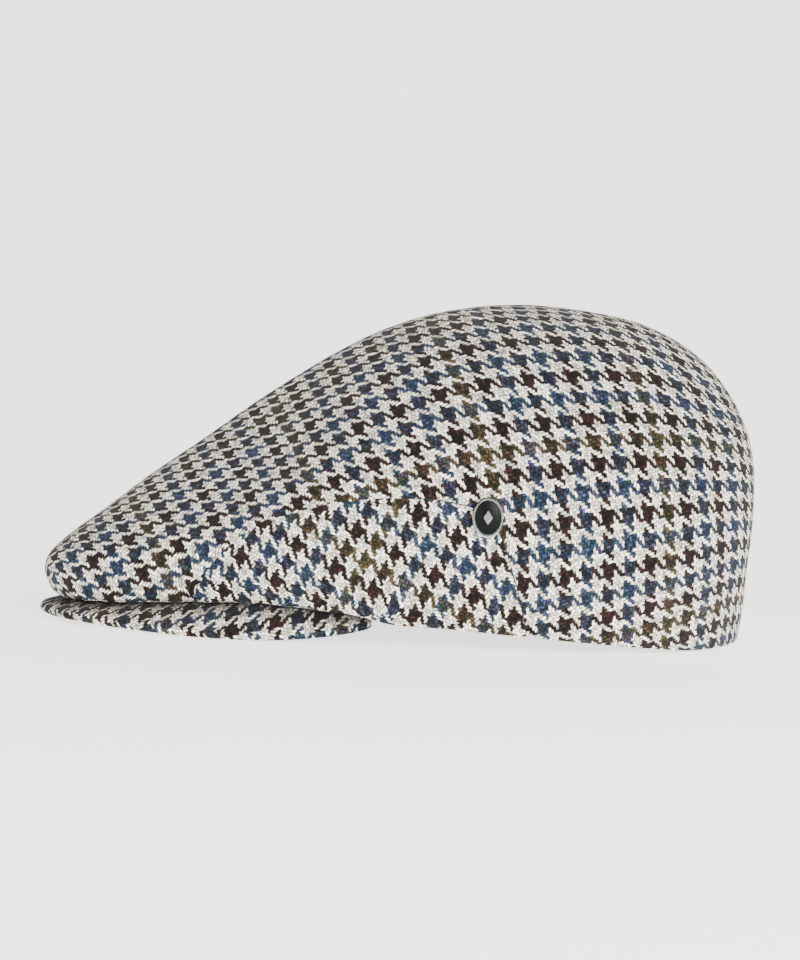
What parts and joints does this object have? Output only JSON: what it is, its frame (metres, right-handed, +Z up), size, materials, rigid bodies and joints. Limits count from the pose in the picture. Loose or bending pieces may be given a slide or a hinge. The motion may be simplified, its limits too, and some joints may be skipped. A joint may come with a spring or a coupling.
{
  "type": "flat cap",
  "caption": "Flat cap in houndstooth tweed: a one-piece cloth crown folded forward over a stiff curved visor, with a small oval badge on the left side.",
  "frame": {"origin": "middle of the bounding box in plan, on the surface that the cap rests on", "axes": "+Z up, +Y from the visor towards the back of the cap, +X towards the wearer's left, the side with the badge"},
  "size_m": [0.175, 0.2742, 0.127],
  "materials": {
    "tweed": "woven wool houndstooth, matt",
    "silver": "polished silver-coloured metal",
    "enamel": "glossy dark enamel"
  },
  "bodies": {
    "root": {"crown": "tweed", "visor": "tweed", "badge_rim": "silver", "badge_enamel": "enamel", "badge_mark": "silver", "badge_rivet": "silver"}
  },
  "joints": []
}
